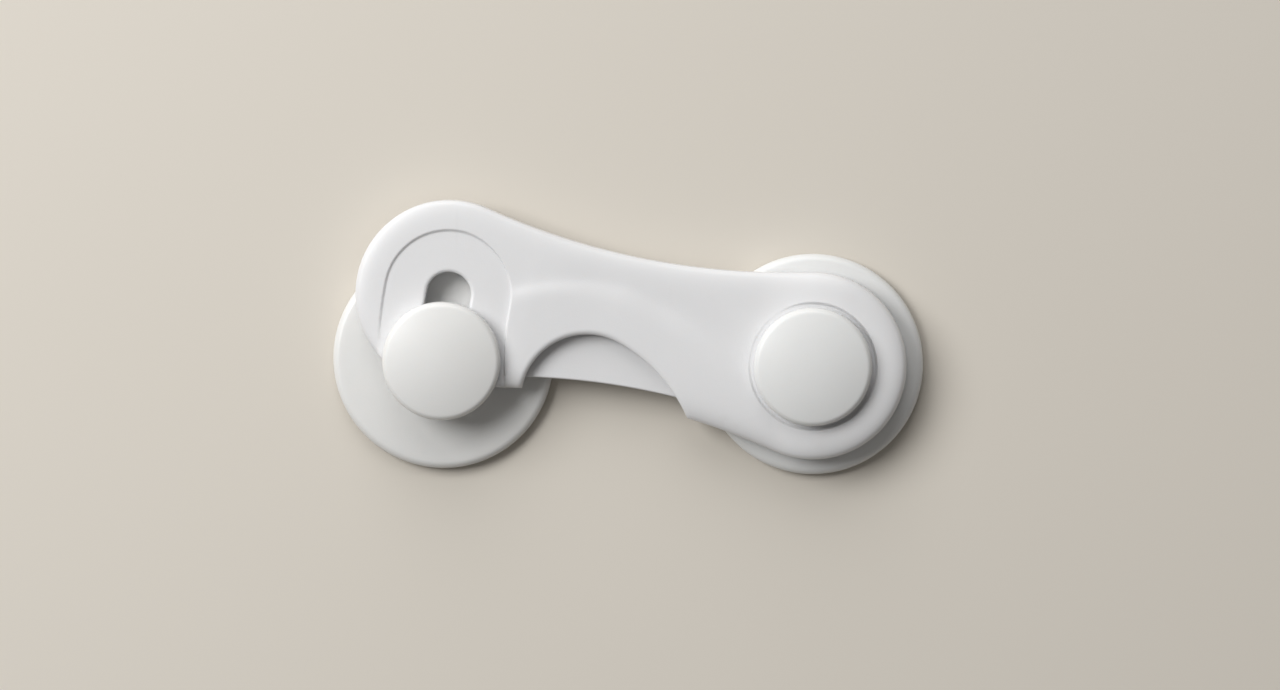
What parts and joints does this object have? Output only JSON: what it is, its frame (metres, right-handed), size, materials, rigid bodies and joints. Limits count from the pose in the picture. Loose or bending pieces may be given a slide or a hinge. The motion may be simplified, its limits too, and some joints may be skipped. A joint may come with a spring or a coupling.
{
  "type": "cabinet safety lock",
  "caption": "Child-safety lock for two cabinet doors: a slotted arm swings on a round adhesive base and hooks round the stud of a second base; a spring lever in a finger notch frees it.",
  "frame": {"origin": "centre of the pivot base's adhesive face, on the pivot axis, in the plane of the doors", "axes": "+Z out of the doors, +X from the strike stud to the pivot, +Y the way the arm lifts off the stud"},
  "size_m": [0.1204, 0.055, 0.0144],
  "materials": {
    "white_plastic": "satin",
    "warm_white_plastic": "satin",
    "lever_plastic": "satin",
    "foam_tape": "matt",
    "screw_steel": "plated",
    "spring_steel": "bright"
  },
  "bodies": {
    "door_side": {"strike_adhesive_pad": "foam_tape", "strike_base": "warm_white_plastic", "strike_screw": "screw_steel", "strike_knob": "warm_white_plastic", "pivot_adhesive_pad": "foam_tape", "pivot_base": "white_plastic", "pivot_screw": "screw_steel", "pivot_cap": "white_plastic"},
    "arm": {"arm_front_cover": "white_plastic", "arm_back_cover": "white_plastic", "lever_pin": "screw_steel", "return_spring": "spring_steel", "cover_screws": "screw_steel"},
    "lever": {"release_lever": "lever_plastic"}
  },
  "joints": [
    {"name": "arm_swing", "type": "hinge", "parent": "door_side", "child": "arm", "pos_m": [0, 0, 0.004], "axis": [0, 0, -1], "range_deg": [-10.3, 100]},
    {"name": "lever_press", "type": "hinge", "parent": "arm", "child": "lever", "pos_m": [-0.06635, 0.02532, 0.0063], "axis": [0, 0, 1], "range_deg": [-8, 1.5], "stiffness_Nm_per_rad": 0.12, "springref_deg": -11.46, "deforming": ["return_spring"]}
  ]
}
